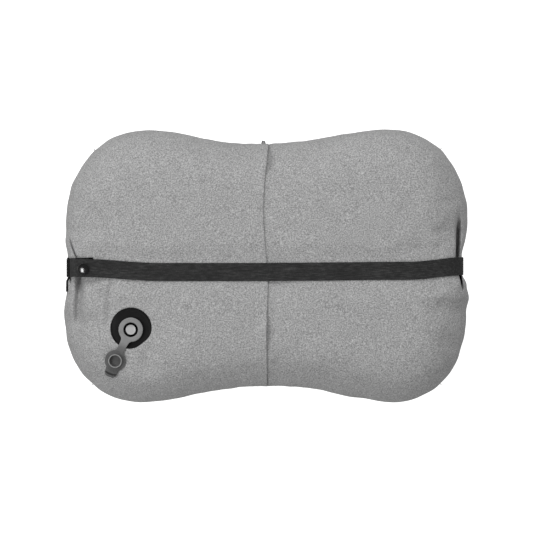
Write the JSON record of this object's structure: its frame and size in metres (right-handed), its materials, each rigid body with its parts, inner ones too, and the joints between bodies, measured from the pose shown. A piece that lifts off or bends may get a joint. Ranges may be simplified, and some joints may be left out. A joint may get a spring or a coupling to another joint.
{
  "type": "inflatable camp pillow",
  "caption": "Inflatable camp pillow in a two-lobed fabric slip cover, with an elastic strap that snaps at one side and a push-button air valve with a tethered cap.",
  "frame": {"origin": "middle of the outline, on the plane the sleeping face rests on", "axes": "+Z out of the back face, where the strap and the valve are; +X along the strap, away from the snap; +Y across the strap, away from the valve"},
  "size_m": [0.44, 0.298, 0.1141],
  "materials": {
    "cover_fabric": "brushed melange knit, matt",
    "bladder_film": "satin film",
    "valve_black": "satin moulded",
    "valve_grey": "soft moulded, satin",
    "button_grey": "satin moulded",
    "seal_rubber": "matt",
    "spring_steel": "drawn wire",
    "strap_elastic": "ribbed woven elastic",
    "strap_webbing": "woven tape",
    "snap_black": "glossy moulded"
  },
  "bodies": {
    "pillow": {"cover_front_panel": "cover_fabric", "cover_back_panel_left": "cover_fabric", "cover_back_panel_right": "cover_fabric", "bladder_front_film": "bladder_film", "bladder_back_film": "bladder_film", "baffle_left": "bladder_film", "baffle_centre": "bladder_film", "baffle_right": "bladder_film", "valve_flange": "valve_black", "valve_housing": "valve_black", "valve_collar": "valve_grey", "valve_spring": "spring_steel", "strap_band": "strap_elastic", "strap_tab": "strap_webbing", "snap_stud": "snap_black", "snap_post": "snap_black"},
    "valve_plunger": {"valve_button": "button_grey", "valve_seal": "seal_rubber"},
    "tethered_cap": {"valve_cap": "valve_grey"},
    "strap_tail": {"strap_end": "strap_elastic", "snap_cap": "snap_black", "snap_socket": "snap_black"}
  },
  "joints": [
    {"name": "valve_button_press", "type": "slide", "parent": "pillow", "child": "valve_plunger", "axis": [0, 0, -1], "range_m": [0, 0.0025], "stiffness_N_per_m": 400, "deforming": ["valve_spring"]},
    {"name": "cap_flip", "type": "hinge", "parent": "pillow", "child": "tethered_cap", "pos_m": [-0.15589, -0.08532, 0.11075], "axis": [-0.8949, 0.4462, 0], "range_deg": [0, 189]},
    {"name": "strap_unsnap", "type": "hinge", "parent": "pillow", "child": "strap_tail", "pos_m": [-0.15025, -0.003, 0.1097], "axis": [0, 1, 0], "range_deg": [0, 110]}
  ]
}
